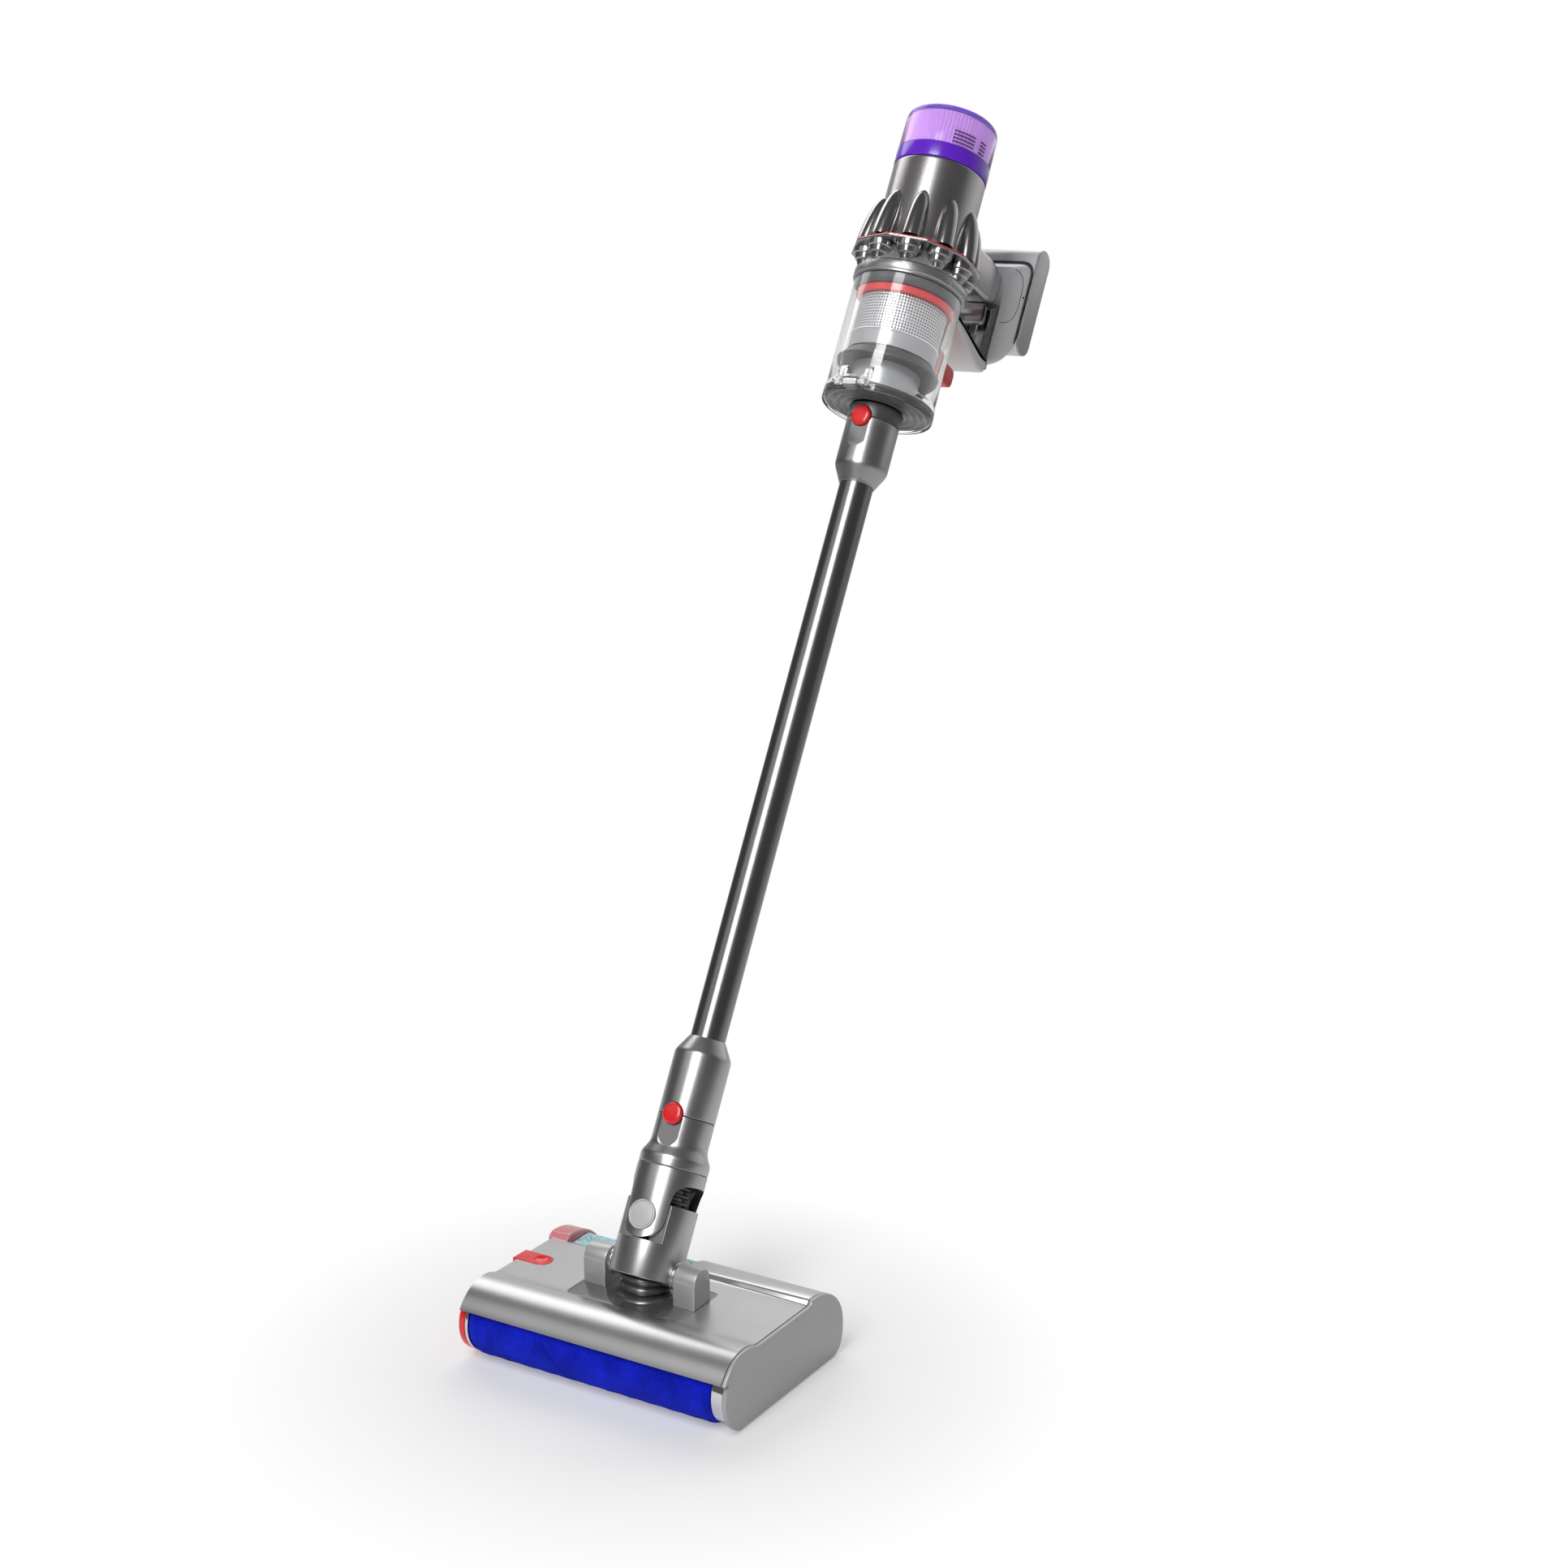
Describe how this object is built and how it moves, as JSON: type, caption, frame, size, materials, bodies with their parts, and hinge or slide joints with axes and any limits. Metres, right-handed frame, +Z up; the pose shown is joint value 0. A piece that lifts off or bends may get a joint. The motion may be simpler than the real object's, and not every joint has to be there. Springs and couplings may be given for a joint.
{
  "type": "cordless stick vacuum cleaner",
  "caption": "Upright cordless stick vacuum: wide roller floor head, swivel neck, straight wand, clear dust bin, cyclone motor body and rear battery handle.",
  "frame": {"origin": "on the floor below the wand's tilt axis, in the middle of the floor head", "axes": "+X along the floor head, towards the plain end cap; -Y the roller side; +Y the user's side; +Z up"},
  "size_m": [0.256, 0.7012, 0.9796],
  "materials": {
    "satin_grey": "satin metallic grey paint on plastic",
    "battery_grey": "light metallic grey on plastic",
    "black_plastic": "matt black moulded plastic",
    "dark_grey": "dark grey moulded plastic and rubber",
    "blue_pile": "short dense microfibre pile",
    "bright_metal": "bright plated",
    "red_plastic": "glossy red moulded plastic",
    "pink_red_clear": "translucent red moulded plastic",
    "clear_tank": "clear aqua-tinted plastic",
    "tube_metal": "satin anodised tube",
    "clear_bin": "clear moulded plastic",
    "light_grey": "light grey moulded plastic",
    "mesh_metal": "fine perforated steel",
    "dark_metal_finish": "dark nickel-look plating on plastic",
    "purple_filter": "translucent purple plastic"
  },
  "bodies": {
    "floor_head": {"head_housing": "satin_grey", "head_base_plate": "black_plastic", "right_end_cap": "satin_grey", "left_end_cap": "satin_grey", "left_ear": "satin_grey", "right_ear": "satin_grey", "bellows": "dark_grey", "glide_pad": "black_plastic", "roller_motor": "black_plastic", "roller_plug": "red_plastic"},
    "roller": {"roller_core": "black_plastic", "roller_sleeve": "blue_pile", "roller_end_ring": "bright_metal"},
    "roller_tab": {"release_tab": "red_plastic"},
    "tank": {"water_tank": "clear_tank", "tank_cap": "pink_red_clear"},
    "wheel_left": {"left_wheel": "black_plastic"},
    "wheel_right": {"right_wheel": "black_plastic"},
    "neck": {"neck_body": "satin_grey", "left_tilt_pin": "bright_metal", "right_tilt_pin": "bright_metal"},
    "swivel": {"fork_collar": "satin_grey", "front_steer_pin": "satin_grey", "rear_steer_pin": "satin_grey", "swivel_hose": "black_plastic", "head_connector": "satin_grey"},
    "head_catch": {"head_button": "red_plastic"},
    "wand": {"wand_lower_socket": "satin_grey", "wand_tube": "tube_metal", "wand_upper_coupling": "satin_grey"},
    "wand_catch": {"wand_button": "red_plastic"},
    "inlet": {"inlet_collar": "dark_grey", "bin_base": "clear_bin", "bin_hinge_pin": "bright_metal"},
    "handheld": {"dust_bin": "clear_bin", "air_cone": "light_grey", "shroud_skirt": "dark_grey", "shroud_band": "light_grey", "mesh_shroud": "mesh_metal", "shroud_red_ring": "red_plastic", "upper_skirt": "dark_grey", "bin_collar": "satin_grey", "cyclone_block": "bright_metal", "crown_ring": "dark_metal_finish", "motor_housing": "dark_metal_finish", "suction_motor": "black_plastic", "handle_frame": "dark_metal_finish"},
    "fan": {"impeller": "light_grey"},
    "filter": {"filter_band": "purple_filter", "filter_pleats": "purple_filter"},
    "trigger_lever": {"trigger": "black_plastic"},
    "bin_catch": {"bin_lever": "red_plastic"},
    "battery": {"battery_pack": "battery_grey"},
    "battery_catch": {"battery_button": "red_plastic"}
  },
  "joints": [
    {"name": "roller_spin", "type": "hinge", "parent": "floor_head", "child": "roller", "pos_m": [0, -0.0525, 0.03], "axis": [1, 0, 0], "continuous": true},
    {"name": "roller_tab_slide", "type": "slide", "parent": "floor_head", "child": "roller_tab", "axis": [-1, 0, 0], "range_m": [0, 0.006], "stiffness_N_per_m": 300, "springref_m": -0.002},
    {"name": "tank_slide", "type": "slide", "parent": "floor_head", "child": "tank", "axis": [0, 1, 0], "range_m": [0, 0.05]},
    {"name": "left_wheel_spin", "type": "hinge", "parent": "floor_head", "child": "wheel_left", "pos_m": [-0.088, 0.022, 0.0095], "axis": [1, 0, 0], "continuous": true},
    {"name": "right_wheel_spin", "type": "hinge", "parent": "floor_head", "child": "wheel_right", "pos_m": [0.088, 0.022, 0.0095], "axis": [1, 0, 0], "continuous": true},
    {"name": "neck_tilt", "type": "hinge", "parent": "floor_head", "child": "neck", "pos_m": [0, 0, 0.079], "axis": [-1, 0, 0], "range_deg": [-27, 38], "deforming": ["bellows"]},
    {"name": "neck_steer", "type": "hinge", "parent": "neck", "child": "swivel", "pos_m": [0, 0.01957, 0.11388], "axis": [0, 0.8721, -0.4894], "range_deg": [-35, 35], "deforming": ["swivel_hose"]},
    {"name": "head_button_push", "type": "slide", "parent": "swivel", "child": "head_catch", "axis": [0, 0.8721, -0.4894], "range_m": [0, 0.0022], "stiffness_N_per_m": 500, "springref_m": -0.002},
    {"name": "head_release", "type": "slide", "parent": "swivel", "child": "wand", "axis": [0, 0.4894, 0.8721], "range_m": [0, 0.04]},
    {"name": "wand_button_push", "type": "slide", "parent": "wand", "child": "wand_catch", "axis": [0, 0.8721, -0.4894], "range_m": [0, 0.0022], "stiffness_N_per_m": 500, "springref_m": -0.002},
    {"name": "wand_release", "type": "slide", "parent": "wand", "child": "inlet", "axis": [0, 0.4894, 0.8721], "range_m": [0, 0.04]},
    {"name": "bin_base_hinge", "type": "hinge", "parent": "inlet", "child": "handheld", "pos_m": [0, 0.31818, 0.75531], "axis": [1, 0, 0], "range_deg": [0, 90]},
    {"name": "fan_spin", "type": "hinge", "parent": "handheld", "child": "fan", "pos_m": [0, 0.46002, 0.89875], "axis": [0, 0.4894, 0.8721], "continuous": true},
    {"name": "filter_twist", "type": "hinge", "parent": "handheld", "child": "filter", "pos_m": [0, 0.4747, 0.92491], "axis": [0, 0.4894, 0.8721], "range_deg": [0, 35]},
    {"name": "trigger_pull", "type": "slide", "parent": "handheld", "child": "trigger_lever", "axis": [0, 0.8721, -0.4894], "range_m": [0, 0.004], "stiffness_N_per_m": 600, "springref_m": -0.002},
    {"name": "bin_lever_slide", "type": "slide", "parent": "handheld", "child": "bin_catch", "axis": [0, -0.4894, -0.8721], "range_m": [0, 0.008], "stiffness_N_per_m": 250, "springref_m": -0.003},
    {"name": "battery_slide", "type": "slide", "parent": "handheld", "child": "battery", "axis": [0, 0.8721, -0.4894], "range_m": [0, 0.04]},
    {"name": "battery_button_push", "type": "slide", "parent": "battery", "child": "battery_catch", "axis": [0, 0.4894, 0.8721], "range_m": [0, 0.0022], "stiffness_N_per_m": 400, "springref_m": -0.002}
  ]
}
